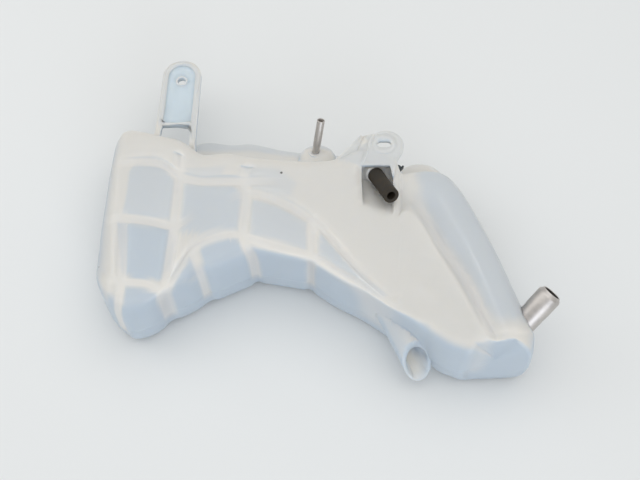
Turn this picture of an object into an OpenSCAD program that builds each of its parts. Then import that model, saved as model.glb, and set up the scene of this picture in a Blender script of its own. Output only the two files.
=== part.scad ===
// Coolant expansion tank, blow-moulded in one piece, lying on its back with the front face up.
// The moulding is a closed loft. Its control net has one column for each line across the tank
// and one row for each line along it, so that ribs and panel edges lie on the net.

/* [Tank moulding] */
// Length of the moulding along X
tank_len = 338; // [300:1:380]
// Width of the moulding along Y, without the tab and the pipes
tank_width = 205; // [180:1:230]
// Wall thickness of the moulding
wall = 3; // [2:0.5:4]
// Height of the front face above the back
face_z = 66; // [60:1:74]
// Height of the parting line above the back
seam_z = 27; // [22:1:32]
// How far the flash of the parting line stands out
seam_bead = 0.5; // [0.3:0.1:1]
// Depth of the ribs pinched into the faces
rib_depth = 2.5; // [1:0.5:4]
// Half of the width of a pinched rib
rib_half_w = 6; // [5:0.5:7]
// Width of the rounded edge round the back
back_round = 11; // [8:1:14]
// Height of the ledge behind the front half, above the parting line
ledge_rise = 9; // [6:1:12]
// Drop of the valley between the face ridge and the side lobe
valley_drop = 9; // [5:1:12]
// Drop of the crown of the side lobe below the face
crown_drop = 4; // [2:1:8]
// Depth of the shallow channel along the plain part of the face
channel_drop = 2; // [0.5:0.5:4]
// Depth of the recess that the bleed pipe leaves from
recess_depth = 17; // [12:1:20]

/* [Left tab] */
// Length of the tab from its root in the tank to the middle of its round end
tab_len = 83; // [76:1:92]
// Length of the open window, from the root
window_len = 34; // [31:1:38]
// Outer width of the tab at its end
tab_w = 33; // [28:1:38]
// Thickness of the rim round the tab
tab_rim_t = 5; // [4:0.5:7]
// Width of the rim round the tab
tab_rim_w = 5; // [4:0.5:6]
// Thickness of the web inside the rim
tab_web_t = 2.5; // [2:0.25:3.5]
// Diameter of the bolt hole in the tab
tab_hole_d = 7; // [5:0.5:9]

/* [Slotted bracket] */
// Thickness of the bracket plate
bracket_t = 3; // [2:0.5:4]
// Width of the slot
slot_w = 6; // [5:0.5:9]
// Length of the slot from end to end
slot_len = 11.5; // [10:0.5:14]

/* [Scoop socket] */
// Bore of the socket
socket_bore = 17.5; // [14:0.5:19]
// Wall of the socket
socket_wall = 2; // [1.5:0.25:3]

/* [Pipes] */
// Outer diameter of the feed pipe
feed_d = 19; // [16:0.5:22]
// Length of the feed pipe that stands out
feed_out = 31; // [28:1:40]
// Outer diameter of the vent pipe and of the bleed pipe
small_d = 6.35; // [5:0.05:8]
// Length of the vent pipe that stands out
vent_out = 28; // [22:1:36]
// Wall of the metal pipes
pipe_wall = 1; // [0.8:0.1:1.4]
// Radial clearance between a pipe and what holds it
fit_gap = 0.1; // [0.05:0.05:0.2]

/* [Hose stub] */
// Outer diameter of the rubber stub
hose_d = 12.5; // [11:0.5:14]
// Length of the rubber stub
hose_len = 37; // [30:1:42]

/* [Hidden] */
$fn = 48;

milky = [0.84, 0.85, 0.85];
steel = [0.74, 0.71, 0.68];
rubber = [0.16, 0.15, 0.13];
black = [0.10, 0.13, 0.15];

// Control net, one line for each column from the left end to the right end.
// Points: near seam, near edge, middle rib, top rib or ridge, far edge or lobe crown, far seam.
net = [
    [[-176, -26], [-176, -20], [-176, 4], [-174, 44], [-173, 60], [-171, 72]],
    [[-173, -39], [-171, -33], [-172, 4], [-171, 50], [-170, 69], [-170, 85]],
    [[-165, -56], [-160, -44], [-164, 4], [-164, 54], [-162, 73], [-162, 96.5]],
    [[-152, -74], [-148, -50], [-152, 4], [-153, 54], [-149, 71], [-149, 95.5]],
    [[-134, -73], [-131, -52], [-131, 1], [-127, 53], [-130, 68], [-130, 90]],
    [[-118, -62], [-115, -55], [-112, -3], [-111, 41], [-113, 62], [-112, 93]],
    [[-88, -45], [-98, -24], [-94, 8], [-94, 37], [-96, 52], [-95, 97]],
    [[-70, -36], [-76, -12], [-75, 18], [-76, 37], [-76, 55], [-76, 94.5]],
    [[-50, -28], [-59, -12], [-57, 26], [-60, 37], [-58, 50], [-58, 95.5]],
    [[-34, -29], [-35, -20], [-34, 20], [-32, 36], [-32, 48], [-32, 89]],
    [[-8, -35], [-6, -29], [-6, 2], [-5, 32], [-4, 48], [-2, 85]],
    [[14, -49], [14, -42], [13, -20], [16, 24], [16, 50], [18, 84]],
    [[33, -59], [32, -54], [30, -42], [33, 14], [33, 60], [34, 81]],
    [[50, -71], [51, -69], [50, -63], [57, 6], [58, 55], [59, 69]],
    [[57, -76], [57, -73], [58, -62], [65, 12], [66, 43], [63, 65]],
    [[64, -80], [63, -76], [66, -54], [74, 8], [77, 42], [76, 75]],
    [[71, -85], [70, -79], [74, -58], [83, -9], [94, 42], [97, 73]],
    [[79, -92], [78, -82], [83, -66], [92, -28], [106, 17], [113, 46]],
    [[87, -99], [87, -86], [92, -75], [103, -48], [117, -8], [128, 13]],
    [[94, -104], [96, -90], [101, -84], [111, -67], [128, -43], [141, -20]],
    [[100, -106], [103, -94], [109, -90], [118, -82], [136, -73], [153, -58]],
    [[106, -108], [111, -97], [116, -96], [122, -93], [141, -91], [162, -86]],
    [[111, -106], [114, -99], [118, -98], [123, -96], [142, -94], [157, -104]],
];
// Height of each column as a share of the full height, and the weight of the side lobe there.
rise = [0.14, 0.56, 0.9, 1, 1.03, 1.03, 1, 1, 1, 1, 1, 1, 1, 1, 1, 0.99, 0.98, 0.97, 0.96, 0.95, 0.94, 0.93, 0.88];
lobe = [0, 0, 0, 0, 0, 0, 0, 0, 0, 0, 0, 0, 0, 0, 0.2, 0.7, 1, 1, 1, 0.9, 0.6, 0.3, 0];
// Where the front half ends on its way to the far seam: the rest of the way is the ledge.
step = [0.6, 0.7, 0.8, 0.85, 0.8, 0.6, 0.36, 0.34, 0.34, 0.34, 0.34, 0.4, 0.5, 0.4, 0.26, 0.3, 0.32, 0.8, 0.8, 0.8, 0.8, 0.8, 0.8];
// Where a round flank takes the place of the ledge
flank = [0, 0, 0, 0, 0, 0, 0, 0, 0, 0, 0, 0, 0, 0, 0, 0, 0.1, 0.9, 1, 1, 1, 1, 1];
last = len(net) - 1;
// Puts a point of the drawn net on the tank, at the tank's own length and width
function span(k) = max([for (c = net) for (p = c) p[k]]) - min([for (c = net) for (p = c) p[k]]);
stretch = [tank_len / span(0), tank_width / span(1)];
function lay(p) = [p[0] * stretch[0], p[1] * stretch[1]];
lines = [for (c = net) [for (p = c) lay(p)]];

// Strength of the pinched rib across the tank at a column, for each strip:
// near wall, near panel, middle panel, top panel, far side, back.
cross_ribs = [
    [3, [1, 1, 0, 0, 0, 0.6]],
    [5, [1, 1, 1, 0.6, 0, 0.6]],
    [6, [1, 0, 0, 0, 0, 0]],
    [8, [1, 1, 1, 0.6, 0, 0.6]],
    [10, [1, 1, 0, 0, 0, 0]],
    [14, [0, 0, 0, 1, 1, 0]],
    [17, [0.5, 0, 0, 0, 0, 0.6]],
];
// Strength of the rib along each row: near edge, middle rib, top rib, one line for each column.
long_ribs = [
    [0, 0, 0], [0, 0, 0], [0.3, 0.2, 0], [1, 1, 0.6], [1, 1, 1], [1, 1, 1], [1, 0, 1], [1, 0, 1],
    [1, 0.6, 1], [1, 1, 0.2], [1, 1, 0], [1, 0.9, 0], [0.8, 0.7, 0], [0.5, 0.4, 0], [0.2, 0.2, 0],
    [0, 0, 0], [0, 0, 0], [0, 0, 0], [0, 0, 0], [0, 0, 0], [0, 0, 0], [0, 0, 0], [0, 0, 0],
];

function clampi(i) = max(0, min(last, i));
// Smooth value of a list between its columns
function curve(list, u) =
    let (k = min(floor(u), last - 1), t = u - k)
    let (a = list[clampi(k - 1)], b = list[k], c = list[k + 1], d = list[clampi(k + 2)])
    0.5 * (2 * b + (c - a) * t + (2 * a - 5 * b + 4 * c - d) * t * t + (3 * b - a - 3 * c + d) * t * t * t);
function ramp(x, x0, x1) = max(0, min(1, (x - x0) / (x1 - x0)));
function bump(q) = abs(q) < 1 ? pow(1 - q * q, 2) : 0;
function ease(x) = x * x * (3 - 2 * x);
function groove(q) = 1 - ease(ramp(abs(q), 0.35, 1.15));
function mix(a, b, t) = a + (b - a) * t;
function unit(v) = v / max(norm(v), 0.001);
function pitch(k) = norm(lines[k + 1][2] - lines[k][2]);

// Pinch of the crossing ribs at station u on a strip
function cross_pinch(u, strip) = max([for (r = cross_ribs)
    let (k = r[0], d = abs(u - k) * (u < k ? pitch(k - 1) : pitch(min(k, last - 1))))
    r[1][strip] * groove(d / rib_half_w)]);

// Recess below the bracket: depth along the way from the ridge row to the far edge
recess_cols = [12, 13];
recess_v = [0.74, 0.96];
recess_run = [0.02, 0.68];
recess_skin = wall + 1;
recess_near = recess_skin / norm(lines[12][3] - lines[11][3]);
recess_far = recess_skin / norm(lines[14][3] - lines[13][3]);
recess_top = recess_skin / norm(lines[12][4] - lines[12][3]);
function recess(u, v, hollow) =
    let (u0 = recess_cols[0] - (hollow ? recess_near : 0), u1 = recess_cols[1] + (hollow ? recess_far : 0))
    let (lag = hollow ? recess_top : 0, depth = recess_depth + (hollow ? recess_skin / 2 : 0))
    (u > u0 && u < u1 ? 1 : 0) * depth * ramp(v, recess_run[0], recess_run[1]) * (1 - ramp(v, recess_v[0] + lag, recess_v[1] + lag));

// One cross-section. Each entry: [plan x, plan y, z], moved inwards by inset along its normal.
function place(p, z, out, cs, sn, pinch, inset) =
    let (m = pinch * rib_depth + inset)
    [p[0] - out[0] * cs * m, p[1] - out[1] * cs * m, z - sn * m];

// Steps across a strip of the face: close together beside the ribs, and at the walls of the recess
function strip_steps(s, len_mm, fine) =
    let (g = min(0.3, rib_half_w / max(len_mm, 1)))
    !fine ? (s < 2 ? [0, 0.45, 0.85] : [0, 0.32, 0.6, 0.85]) :
    s < 2 ? [0, g / 2, g, 0.5, 1 - g, 1 - g / 2] : [0, g / 2, g, 0.32, 0.5, recess_v[0], recess_v[1]];

// Points on the parting line and a flash height above or below it
function flash(p, out, pinch, inset, bead, rows) =
    [for (r = rows) place(p, seam_z + r * bead, out, 1, 0, pinch, inset - (r == 0 ? bead : 0))];

squareness = 0.62;
// Share of the steps of the far side that the shoulder takes, down to the foot where the ledge starts
foot = 0.55;
// The cavity stands further back behind the inner corner of the ledge beside the bracket
corner_u = 13.9;
corner_reach = 1.1;
corner_skin = 5;
function section(u, inset, fine) =
    let (p = curve(lines, u), h = curve(rise, u), w = curve(lobe, u), st = curve(step, u), lr = curve(long_ribs, u))
    let (top = seam_z + (face_z - seam_z) * h, low = seam_z * (1 - min(1, h)), fl = curve(flank, u))
    let (near = unit(p[0] - p[1]), far = unit(p[5] - p[4]), across = unit(p[5] - p[0]))
    let (n = fine ? 6 : 3, m = 9, nb = fine ? 4 : 2, bead = fine ? seam_bead : 0)
    let (pinch_w = cross_pinch(u, 0), pinch_b = cross_pinch(u, 5))
    let (back_off = inset > 0 ? corner_skin * bump((u - corner_u) / corner_reach) : 0)
    concat(
        // near wall, from the seam up to the face edge
        flash(p[0], near, pinch_w, inset, bead, fine ? [0, 1] : [0]),
        [for (i = [1:n - 1]) let (a = 90 * i / n, cs = cos(a), sn = sin(a))
            place(mix(p[0], p[1], 1 - pow(cs, squareness)), seam_z + (top - seam_z) * pow(sn, squareness),
                near, cs, sn, max(pinch_w, lr[0] * (i == n - 1 && fine ? 0.56 : 0)), inset)],
        // face, in three strips
        [for (s = [0:2]) let (a = p[s + 1], b = p[s + 2], len_mm = norm(b - a))
            each [for (t = strip_steps(s, len_mm, fine))
                let (pr = max(lr[s] * groove(t * len_mm / rib_half_w),
                        (s < 2 ? lr[s + 1] : 0) * groove((1 - t) * len_mm / rib_half_w)))
                let (dip = s == 2 ? w * (valley_drop * bump((t - 0.32) / 0.4) + crown_drop * t * t)
                    : s == 1 ? channel_drop * bump((u - 16) / 5) * bump((t - 0.55) / 0.4) : 0)
                let (dent = s > 0 ? recess(u, s - 2 + t, inset > 0) : 0)
                place(mix(a, b, t), top - dip - dent, near, 0, 1, max(pr, cross_pinch(u, s + 1)), inset)]],
        // far side: a shoulder and a ledge, or the round flank of the lobe
        [for (t = fine ? [for (i = [0:m - 1]) i / m] : [0, 0.3, foot, 0.8]) let (a = 90 * t, spare = fine ? 0 : 1.2)
            let (crown = top - w * crown_drop, ledge_z = seam_z + ledge_rise * h - spare)
            let (x0 = st - spare / norm(p[5] - p[4]), late = (t - foot) / (1 - foot))
            let (c1 = t < foot ? 1 - pow(cos(a / foot), squareness) : 1)
            let (x1 = t < foot ? x0 * pow(sin(a / foot), squareness) : mix(x0, 1, late))
            let (z1 = t < foot ? mix(crown, ledge_z, c1) : mix(ledge_z, seam_z, pow(late, 3)))
            let (x2 = pow(sin(a), 0.8), z2 = seam_z + (crown - seam_z) * pow(cos(a), 0.8))
            place(mix(p[4], p[5], mix(x1, x2, fl)) - far * back_off, mix(z1, z2, fl), far, sin(a), cos(a),
                cross_pinch(u, 4), inset)],
        // rear half: far edge, back and near edge
        flash(p[5], across, 0, inset, bead, fine ? [1, 0, -1] : [0]),
        [for (i = [1:nb]) let (a = 90 * i / nb, q = back_round * (1 - pow(cos(a), squareness)))
            place(p[5] - across * q, mix(seam_z, low, pow(sin(a), squareness)), across, cos(a), -sin(a), 0, inset)],
        [for (t = fine ? [0.25, 0.5, 0.75] : [0.5])
            place(mix(p[5] - across * back_round, p[0] + across * back_round, t), low, near, 0, -1, pinch_b, inset)],
        [for (i = [nb:-1:1]) let (a = 90 * i / nb, q = back_round * (1 - pow(cos(a), squareness)))
            place(p[0] + across * q, mix(seam_z, low, pow(sin(a), squareness)), -across, cos(a), -sin(a), pinch_w, inset)],
        fine ? flash(p[0], near, pinch_w, inset, bead, [-1]) : []
    );

// Stations along the tank: closer together beside a rib and at the recess walls
function ribbed(k) = len([for (r = cross_ribs) if (r[0] == k) 1]) > 0;
edge_t = 0.04;
function between(k, fine) =
    let (g = min(0.3, rib_half_w / pitch(k)))
    let (at_recess = k == recess_cols[0])
    !fine && k == recess_cols[0] - 1 ? [0, 1 - recess_near - edge_t, 1 - recess_near + edge_t] :
    !fine && k == recess_cols[1] ? [0, recess_far - edge_t, recess_far + edge_t] :
    !fine || k < 2 || k > recess_cols[1] ? [0, 0.5] :
    concat([0],
        at_recess ? [edge_t] : ribbed(k) && fine ? [g / 2, g] : fine ? [0.33] : [],
        fine ? [0.5] : [],
        at_recess ? [1 - edge_t] : ribbed(k + 1) && fine ? [1 - g, 1 - g / 2] : fine ? [0.67] : []);
function stations(k0, k1, fine) =
    concat([for (k = [k0:ceil(k1) - 1]) for (t = between(k, fine)) if (k + t < k1 - 0.01) k + t], [k1]);
cavity_cols = [1, 21];

// Closed skin through a list of sections, each end closed by rings that shrink to its middle
function middle(q) = [for (c = [0:2]) [for (p = q) p[c]] * [for (p = q) 1 / len(q)]];
function shrunk(q, k, swell) = let (c = middle(q)) [for (p = q) c + (p - c) * k + swell * (1 - k * k)];
module loft(body, swell0, swell1) {
    m = len(body[0]);
    sections = concat(
        [for (k = [0.45, 0.8]) shrunk(body[0], k, swell0)], body,
        [for (k = [0.8, 0.45]) shrunk(body[len(body) - 1], k, swell1)]);
    n = len(sections);
    points = concat([for (s = sections) each s],
        [middle(body[0]) + swell0, middle(body[len(body) - 1]) + swell1]);
    faces = concat(
        [for (i = [0:n - 2]) for (j = [0:m - 1])
            let (a = i * m + j, b = i * m + (j + 1) % m)
            [a, b, b + m, a + m]],
        [for (j = [0:m - 1]) [n * m, (j + 1) % m, j]],
        [for (j = [0:m - 1]) [n * m + 1, (n - 1) * m + j, (n - 1) * m + (j + 1) % m]]);
    polyhedron(points, faces, 10);
}
module skin() {
    loft([for (u = stations(0, last, true)) section(u, 0, true)], [-1, 0, 0], [0.2, -1.5, 0]);
}
module cavity() {
    loft([for (u = stations(cavity_cols[0], cavity_cols[1], false)) section(u, wall, false)],
        [-0.5, 0, 0], [0, 0, 0]);
}

// Puts a shape drawn along +Z at a point, with +Z turned to a direction
module along(p, d) {
    translate(p) rotate([0, acos(d[2] / norm(d)), atan2(d[1], d[0])]) children();
}

// Left tab: a long tongue with a thin web in a thick rim, a bolt hole and an open window at its root
tab_z = face_z - 16;
tab_root = lay([-118.5, 66]);
tab_end = tab_root + [0, tab_len];
tab_hole = tab_end - [0, 5];
window_end = tab_root[1] + window_len;
tab_lip = 2;
tab_hole_ring = 1.5;
tab_spread = [4, 1];
tab_spread_y = tab_root[1] + 42;
module tab_outline(r) {
    translate(tab_end) circle(r);
    polygon([tab_end - [r, 0], tab_end + [r, 0], tab_root + [r - tab_spread[1], 0],
        tab_root - [r + tab_spread[0], 0], [tab_end[0] - r - tab_spread[1], tab_spread_y]]);
}
module tab() {
    r = tab_w / 2;
    translate([0, 0, tab_z - tab_rim_t / 2]) linear_extrude(tab_rim_t) difference() {
        tab_outline(r);
        difference() {
            tab_outline(r - tab_rim_w);
            translate([tab_end[0] - r, window_end - tab_lip / 2]) square([2 * r, tab_lip]);
        }
    }
    translate([0, 0, tab_z - tab_web_t / 2]) linear_extrude(tab_web_t) difference() {
        tab_outline(r - 1);
        translate([tab_end[0] - r, 0]) square([2 * r, window_end]);
    }
    translate([tab_hole[0], tab_hole[1], tab_z - tab_rim_t / 2])
        cylinder(h = tab_rim_t, d = tab_hole_d + 2 * tab_hole_ring);
}
module tab_bore() {
    translate([tab_hole[0], tab_hole[1], tab_z - tab_rim_t]) cylinder(h = 2 * tab_rim_t, d = tab_hole_d);
}

// Slotted bracket: a plate just above the face, a sloping flange on its left and a thin web beside it
bracket_top = face_z + 1.5;
bracket_c = lay([53, 68.5]);
bracket_r = 14.5;
slot_c = bracket_c + [-1.5, 1.5];
slot_pad_r = 9.5;
slot_pad_rise = 0.3;
flange_root = bracket_c - [20, 18.5];
flange_end = bracket_c + [-9.5, 12];
// Corners of the plate's foot and of the web, from the middle of the round end
foot_corners = [[bracket_r, 0], [7.5, -17.5], [5.5, -28.5], [4, -28.5], [3, -18.5]];
web_corners = [[-41, -9.5], [-19.5, 16], [-17, 13.5], [-25, -14.5], [-39, -14.5]];
flange_w = 12;
flange_tilt = 38;
flange_lap = 1;
web_t = 2;
web_drop = 7.5;
module slotted_bracket() {
    translate([0, 0, bracket_top - bracket_t]) linear_extrude(bracket_t) {
        translate(bracket_c) circle(bracket_r);
        polygon(concat([flange_root, flange_end, bracket_c], [for (c = foot_corners) bracket_c + c]));
    }
    translate([slot_c[0], slot_c[1], bracket_top - bracket_t - slot_pad_rise])
        cylinder(h = bracket_t + 2 * slot_pad_rise, r = slot_pad_r);
    run = flange_end - flange_root;
    translate([flange_root[0], flange_root[1], bracket_top]) rotate([0, 0, atan2(run[1], run[0])])
        rotate([-flange_tilt, 0, 0]) translate([flange_lap / 2, -flange_lap, -bracket_t - flange_lap / 8])
            cube([norm(run) - flange_lap, flange_w, bracket_t]);
    translate([0, 0, bracket_top - web_drop - web_t]) linear_extrude(web_t)
        polygon([for (c = web_corners) bracket_c + c]);
}
module slot_cut() {
    half = (slot_len - slot_w) / 2;
    depth = 2 * bracket_t;
    for (side = [-1, 1])
        translate([slot_c[0] + side * half, slot_c[1], bracket_top - depth]) cylinder(h = 2 * depth, d = slot_w);
    translate([slot_c[0] - half, slot_c[1] - slot_w / 2, bracket_top - depth]) cube([2 * half, slot_w, 2 * depth]);
}

// Scoop socket: an open tapering spout whose mouth is cut on the slant, closed by the tank's wall at its root
socket_root = concat(lay([55.3, -59.3]), [seam_z + 11.5]);
socket_dir = [0.407, -0.868, -0.284];
socket_len = 60;
socket_slant = 38;
socket_flare = 3.5;
socket_od = socket_bore + 2 * socket_wall;
module socket_wall_form() {
    along(socket_root, socket_dir) difference() {
        cylinder(h = socket_len, r1 = socket_od / 2 + socket_flare, r2 = socket_od / 2);
        mouth_cut();
    }
}
module mouth_cut() {
    // Fall of the cut across the tube. The cut is drawn to twice the radius on both sides.
    drop = socket_od / tan(socket_slant);
    rotate([90, 0, 0]) translate([0, 0, -socket_od]) linear_extrude(2 * socket_od)
        polygon([[-socket_od, socket_len - 1.5 * drop], [-socket_od, socket_len + drop],
            [socket_od, socket_len + drop], [socket_od, socket_len + 0.5 * drop]]);
}
module scoop_socket() {
    difference() {
        socket_wall_form();
        along(socket_root, socket_dir) translate([0, 0, -socket_wall]) cylinder(h = 2 * socket_len, d = socket_bore);
    }
}

// Pipe seats
feed_seat = concat(lay([153.3, -74.9]), [face_z - 21]);
feed_dir = [0.613, 0.536, 0.581];
feed_in = 10;
vent_seat = concat(lay([-3, 76]), [face_z - 14]);
vent_dir = [0.137, 0.345, 0.93];
vent_in = 12;
bleed_seat = concat(lay([43.4, 49.9]), [face_z - 10]);
bleed_dir = [0.28, -0.815, 0.505];
bleed_in = 9;
bleed_out = 24;
feed_neck = 11;
feed_nose_len = 3.5;
feed_nose_cut = 2;
vent_neck = 1;
neck_cut = 0.3;
boss_wall = 2.5;
// How far the ring round each pipe stays behind its seat
boss_back = 4.5;
// How far each bore runs past the pipe inside, and past its seat outside
bore_over = 2;
bore_clear = 20;
collar_lip = 1;
collar_out = 3;
module boss(seat, dir, r, inside, outside) {
    along(seat, dir) translate([0, 0, -inside]) cylinder(h = inside + outside, r = r);
}
module bore(seat, dir, d, inside) {
    along(seat, dir) translate([0, 0, -inside - bore_over])
        cylinder(h = inside + bore_over + bore_clear, d = d - 2 * neck_cut + 2 * fit_gap);
}
dome_r = 16.5;
dome_h = 12.5;
dome_c = vent_seat + [1, -5.5, -15];
module vent_dome() {
    translate(dome_c) rotate_extrude() intersection() {
        scale([1, dome_h / dome_r]) circle(dome_r);
        translate([0, -dome_h]) square([dome_r, 2 * dome_h]);
    }
}

module tank_body() {
    color(milky) difference() {
        union() {
            difference() {
                union() {
                    skin();
                    tab();
                    slotted_bracket();
                    scoop_socket();
                    vent_dome();
                }
                cavity();
            }
            boss(feed_seat, feed_dir, feed_d / 2 + boss_wall, feed_in - bore_over, -boss_back);
            boss(vent_seat, vent_dir, small_d / 2 + boss_wall, vent_in - bore_over, -boss_back);
            boss(bleed_seat, bleed_dir, hose_d / 2 + collar_lip, bleed_in - bore_over, collar_out);
            clip_pad();
        }
        tab_bore();
        clip_hole();
        slot_cut();
        bore(feed_seat, feed_dir, feed_d, feed_in);
        bore(vent_seat, vent_dir, small_d, vent_in);
        bore(bleed_seat, bleed_dir, small_d, bleed_in);
    }
}

// Metal pipe: a drawn tube, a little thinner up to where it is clear of the tank, and drawn in at its end
module tube(d, inside, neck, outside, nose_len = 0, nose_cut = 0) {
    bore_r = d / 2 - pipe_wall;
    shoulder = outside - nose_len;
    outer = nose_len > 0 ? [[d / 2, shoulder], [d / 2 - nose_cut, outside]] : [[d / 2, outside]];
    inner = nose_len > 0 ? [[bore_r - nose_cut, outside], [bore_r, shoulder]] : [[bore_r, outside]];
    rotate_extrude()
        polygon(concat([[bore_r, -inside], [d / 2 - neck_cut, -inside], [d / 2 - neck_cut, neck], [d / 2, neck]],
            outer, inner));
}
module feed_pipe() {
    color(steel) along(feed_seat, feed_dir) tube(feed_d, feed_in, feed_neck, feed_out, feed_nose_len, feed_nose_cut);
}
module vent_pipe() {
    color(steel) along(vent_seat, vent_dir) tube(small_d, vent_in, vent_neck, vent_out);
}
module bleed_pipe() {
    color(steel) along(bleed_seat, bleed_dir) tube(small_d, bleed_in, hose_start, bleed_out);
}

// Rubber stub pushed on the bleed pipe, up to its collar
hose_gap = 0.3;
hose_start = collar_out + hose_gap;
module hose_stub() {
    color(rubber) along(bleed_seat, bleed_dir) translate([0, 0, hose_start]) difference() {
        cylinder(h = hose_len, d = hose_d);
        translate([0, 0, -1]) cylinder(h = hose_len + 2, d = small_d + 2 * fit_gap);
    }
}

// Forked clip that stands on the ledge beside the bracket, with its peg in a pad
clip_seat = concat(lay([64.1, 61.2]), [seam_z + ledge_rise]);
clip_rise = 10;
clip_t = 4;
stem_d = 5;
peg_d = 4;
peg_len = 5;
peg_gap = 0.5;
pad_d = 9;
pad_depth = 8;
// Outline of the fork, from the middle of the stem
fork = [[-1, -5.2], [4.8, 1.2], [4.1, 2.2], [1.9, 0.4], [-0.5, 2.6], [-4, 3], [-2.9, 0], [-1.7, -2.5]];
module clip_pad() {
    translate(clip_seat - [0, 0, pad_depth]) cylinder(h = pad_depth, d = pad_d);
}
module clip_hole() {
    translate(clip_seat - [0, 0, peg_len + peg_gap]) cylinder(h = 2 * peg_len, d = peg_d + 2 * fit_gap);
}
module hose_clip() {
    color(black) {
        translate(clip_seat - [0, 0, peg_len]) cylinder(h = peg_len + 1, d = peg_d);
        translate(clip_seat) cylinder(h = clip_rise, d = stem_d);
        translate(clip_seat + [0, 0, clip_rise - clip_t]) linear_extrude(clip_t) polygon(fork);
    }
}

tank_body();
feed_pipe();
vent_pipe();
bleed_pipe();
hose_stub();
hose_clip();
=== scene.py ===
"""Looks of a blow-moulded coolant expansion tank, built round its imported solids.

The tank lies on its back. The moulding is dressed from a copy of its solid, and the metal
pipes, the rubber stub and the forked clip are modelled again with their rims and rounded edges.
"""

import logging
import math
from collections.abc import Callable, Iterator, Sequence
from contextlib import contextmanager
from dataclasses import dataclass, field
from enum import Enum
from typing import Any

import bmesh
import bpy
import numpy as np
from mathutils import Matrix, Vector


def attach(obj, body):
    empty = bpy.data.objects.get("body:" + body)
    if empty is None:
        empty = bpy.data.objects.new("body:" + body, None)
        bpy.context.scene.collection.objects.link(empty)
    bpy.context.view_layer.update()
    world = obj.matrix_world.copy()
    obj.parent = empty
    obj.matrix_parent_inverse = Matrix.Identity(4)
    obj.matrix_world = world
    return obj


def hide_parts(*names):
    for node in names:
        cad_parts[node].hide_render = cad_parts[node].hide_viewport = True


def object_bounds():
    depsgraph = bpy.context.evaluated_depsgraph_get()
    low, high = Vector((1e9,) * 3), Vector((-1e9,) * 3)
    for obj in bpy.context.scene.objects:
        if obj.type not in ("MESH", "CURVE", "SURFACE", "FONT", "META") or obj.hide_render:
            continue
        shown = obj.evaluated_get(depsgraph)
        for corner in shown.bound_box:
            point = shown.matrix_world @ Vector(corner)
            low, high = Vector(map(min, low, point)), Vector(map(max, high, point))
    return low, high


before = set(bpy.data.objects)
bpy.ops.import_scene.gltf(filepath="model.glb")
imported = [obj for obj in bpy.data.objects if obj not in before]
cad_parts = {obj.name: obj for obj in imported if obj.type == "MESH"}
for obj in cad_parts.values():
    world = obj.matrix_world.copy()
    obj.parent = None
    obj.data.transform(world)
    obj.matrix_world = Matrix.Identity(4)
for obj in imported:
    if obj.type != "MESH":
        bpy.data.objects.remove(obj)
CAD_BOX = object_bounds()

log = logging.getLogger("tank")

MM = 0.001
BODY = "root"
# Nearly all of a noise lies between these two values
NOISE_LOW = 0.3
NOISE_HIGH = 0.7
# Distances within which vertices of copies and of turned pieces are joined, in millimetres
WELD_MM = 0.004
SLIVER_MM = 0.002
TURNED_WELD_MM = 0.001
# The middle corner of a rounded rim stands in by this share of the rim's radius
RIM_CORNER = 0.3
# Keeps a line without length from being divided by
SHORTEST = 1e-9

Point = tuple[float, float, float]
Values = float | np.ndarray


class Slot(Enum):
    """Material slots of the record."""

    TANK = "tank_plastic"
    PIPE = "pipe_metal"
    HOSE = "hose_rubber"
    CLIP = "clip_plastic"


class Mask(Enum):
    """Vertex attributes that the tank's finish reads."""

    # Creamy tone of pinched ribs, also carrying painted highlights and painted light in the
    # recess under the bracket
    PINCH = "pinch"
    # Painted bluish shade on walls and thin panels, standing in for shade and for backdrop light
    # showing through
    PAINTED_SHADE = "painted_shade"


# Colour and node helpers


def linear(hex_colour: str) -> tuple[float, float, float, float]:
    """Turns an sRGB hex colour to linear light.

    Args:
        hex_colour: Colour as "#RRGGBB".

    Returns:
        Red, green, blue and an alpha of 1, in linear light.
    """
    parts = [int(hex_colour[i : i + 2], 16) / 255 for i in (1, 3, 5)]
    made = [p / 12.92 if p <= 0.04045 else ((p + 0.055) / 1.055) ** 2.4 for p in parts]
    return (made[0], made[1], made[2], 1.0)


def add_node(
    tree: bpy.types.NodeTree,
    kind: str,
    settings: dict[Any, Any] | None = None,
    links: dict[Any, bpy.types.NodeSocket] | None = None,
) -> bpy.types.Node:
    """Adds a node with its settings and links.

    Args:
        tree: The material's or world's node tree.
        kind: The node's type name without "ShaderNode".
        settings: Values by name. A lower-case name is a property of the node, and any other
            name or a number is an input.
        links: Output sockets by the name or number of the input that they go to.

    Returns:
        The new node.
    """
    node = tree.nodes.new("ShaderNode" + kind)
    for name, value in (settings or {}).items():
        if isinstance(name, str) and name[0].islower():
            setattr(node, name, value)
        else:
            node.inputs[name].default_value = value
    for name, socket in (links or {}).items():
        tree.links.new(socket, node.inputs[name])
    return node


def ramp(
    tree: bpy.types.NodeTree,
    value: bpy.types.NodeSocket,
    low: tuple[float, str],
    high: tuple[float, str],
) -> bpy.types.NodeSocket:
    """Turns a value to a blend of two colours.

    Args:
        tree: The material's node tree.
        value: The value.
        low: Place and hex colour of the lower stop.
        high: Place and hex colour of the upper stop.

    Returns:
        The blended colour.
    """
    node = add_node(tree, "ValToRGB", None, {"Fac": value})
    for element, (place, tone) in zip(node.color_ramp.elements, (low, high)):
        element.position = place
        element.color = linear(tone)
    return node.outputs["Color"]


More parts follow.
